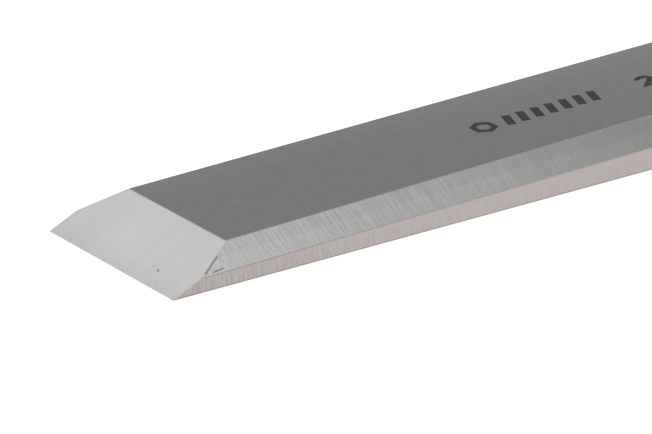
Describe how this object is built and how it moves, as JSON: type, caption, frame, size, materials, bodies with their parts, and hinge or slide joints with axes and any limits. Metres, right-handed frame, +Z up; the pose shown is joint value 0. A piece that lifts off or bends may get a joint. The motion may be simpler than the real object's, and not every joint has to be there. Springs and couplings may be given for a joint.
{
  "type": "bench chisel",
  "caption": "Bevel-edge bench chisel: square cutting edge, flat back, side bevels, tapered tang in a hooped turned wooden handle with ferrule and leather washer.",
  "frame": {"origin": "on the bench, under the middle of the chisel's bounding box; the chisel lies at rest on its cutting edge and on the swell of its handle", "axes": "+X from the cutting edge towards the handle's butt, +Z up, away from the bench; the flat back faces down and is tipped 2.845 degrees about Y"},
  "size_m": [0.2812, 0.0328, 0.0332],
  "materials": {
    "blade_steel": "ground and satin",
    "washer_leather": "undyed, burnished edge",
    "ferrule_steel": "turned",
    "handle_wood": "waxed",
    "hoop_steel": "turned"
  },
  "bodies": {
    "root": {"blade": "blade_steel", "leather_washer": "washer_leather", "ferrule": "ferrule_steel", "handle": "handle_wood", "striking_hoop": "hoop_steel"}
  },
  "joints": []
}
